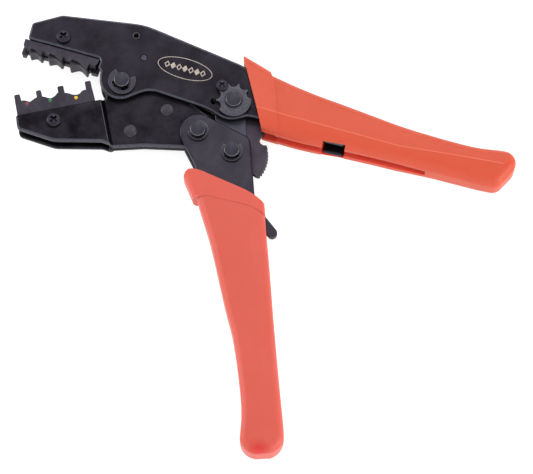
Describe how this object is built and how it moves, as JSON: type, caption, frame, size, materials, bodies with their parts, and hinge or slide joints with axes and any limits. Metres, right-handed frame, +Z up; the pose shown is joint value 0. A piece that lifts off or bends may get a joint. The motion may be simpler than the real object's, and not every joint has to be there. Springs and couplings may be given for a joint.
{
  "type": "ratchet crimping tool",
  "caption": "Ratchet crimping pliers for insulated terminals, with riveted plate jaws, screwed-in dies, a star-wheel adjuster, a toggle link and moulded handle sleeves.",
  "frame": {"origin": "centre of the main pivot pin's rear end, in the plane that the tool lies on", "axes": "+X along the fixed handle, +Z up out of the plane of the plates, towards the star wheel"},
  "size_m": [0.2251, 0.1734, 0.0183],
  "materials": {
    "black_steel": "black-oxide steel, satin",
    "handle_steel": "blued steel, satin",
    "die_steel": "brownish black-oxide die steel, fine ground",
    "pin_steel": "dark hardened steel, machined",
    "spring_steel": "drawn spring wire",
    "coral_vinyl": "soft moulded vinyl, orange-coral"
  },
  "bodies": {
    "frame": {"front_frame_plate": "black_steel", "rear_frame_plate": "black_steel", "upper_grip": "coral_vinyl", "upper_die": "die_steel", "upper_die_screw": "pin_steel", "main_pivot_pin": "pin_steel", "main_pin_front_clip": "pin_steel", "main_pin_rear_clip": "pin_steel", "spring_anchor_pin": "pin_steel", "frame_spacer_1": "pin_steel", "frame_spacer_2": "pin_steel", "adjuster_pin": "pin_steel", "adjusting_wheel": "pin_steel", "adjuster_pin_clip": "pin_steel", "wheel_lock_screw": "pin_steel", "jaw_return_spring": "spring_steel"},
    "lower_jaw": {"front_jaw_plate": "black_steel", "rear_jaw_plate": "black_steel", "lower_die": "die_steel", "lower_die_screw": "pin_steel", "jaw_rivet_1": "pin_steel", "jaw_rivet_2": "pin_steel", "spring_post": "pin_steel"},
    "moving_handle": {"front_handle_plate": "handle_steel", "rear_handle_plate": "handle_steel", "lower_grip": "coral_vinyl", "jaw_pin": "pin_steel", "jaw_pin_front_clip": "pin_steel", "jaw_pin_rear_clip": "pin_steel", "toggle_pin": "pin_steel", "toggle_pin_front_clip": "pin_steel", "toggle_pin_rear_clip": "pin_steel", "pawl_pin": "pin_steel", "pawl_spring_pin": "pin_steel", "handle_spacer_1": "pin_steel", "handle_spacer_2": "pin_steel", "pawl_spring": "spring_steel"},
    "toggle_link": {"front_link_plate": "black_steel", "rear_link_plate": "black_steel", "ratchet_sector": "black_steel", "link_rivet_1": "pin_steel", "link_rivet_2": "pin_steel"},
    "ratchet_pawl": {"ratchet_pawl": "handle_steel"}
  },
  "joints": [
    {"name": "jaw_close", "type": "hinge", "parent": "frame", "child": "lower_jaw", "pos_m": [0, 0, 0.009], "axis": [0, 0, -1], "range_deg": [0, 28], "deforming": ["jaw_return_spring"]},
    {"name": "handle_squeeze", "type": "hinge", "parent": "lower_jaw", "child": "moving_handle", "pos_m": [0.039, -0.0126, 0.009], "axis": [0, 0, 1], "range_deg": [0, 88]},
    {"name": "link_swing", "type": "hinge", "parent": "moving_handle", "child": "toggle_link", "pos_m": [0.056, -0.0176, 0.009], "axis": [0, 0, -1], "range_deg": [0, 96]},
    {"name": "pawl_release", "type": "hinge", "parent": "moving_handle", "child": "ratchet_pawl", "pos_m": [0.06644, -0.03845, 0.009], "axis": [0, 0, -1], "range_deg": [0, 10], "deforming": ["pawl_spring"]}
  ],
  "couplings": [
    {"joint": "jaw_close", "follows": "handle_squeeze", "ratio": 0.31818},
    {"joint": "link_swing", "follows": "handle_squeeze", "ratio": 1.0903}
  ]
}
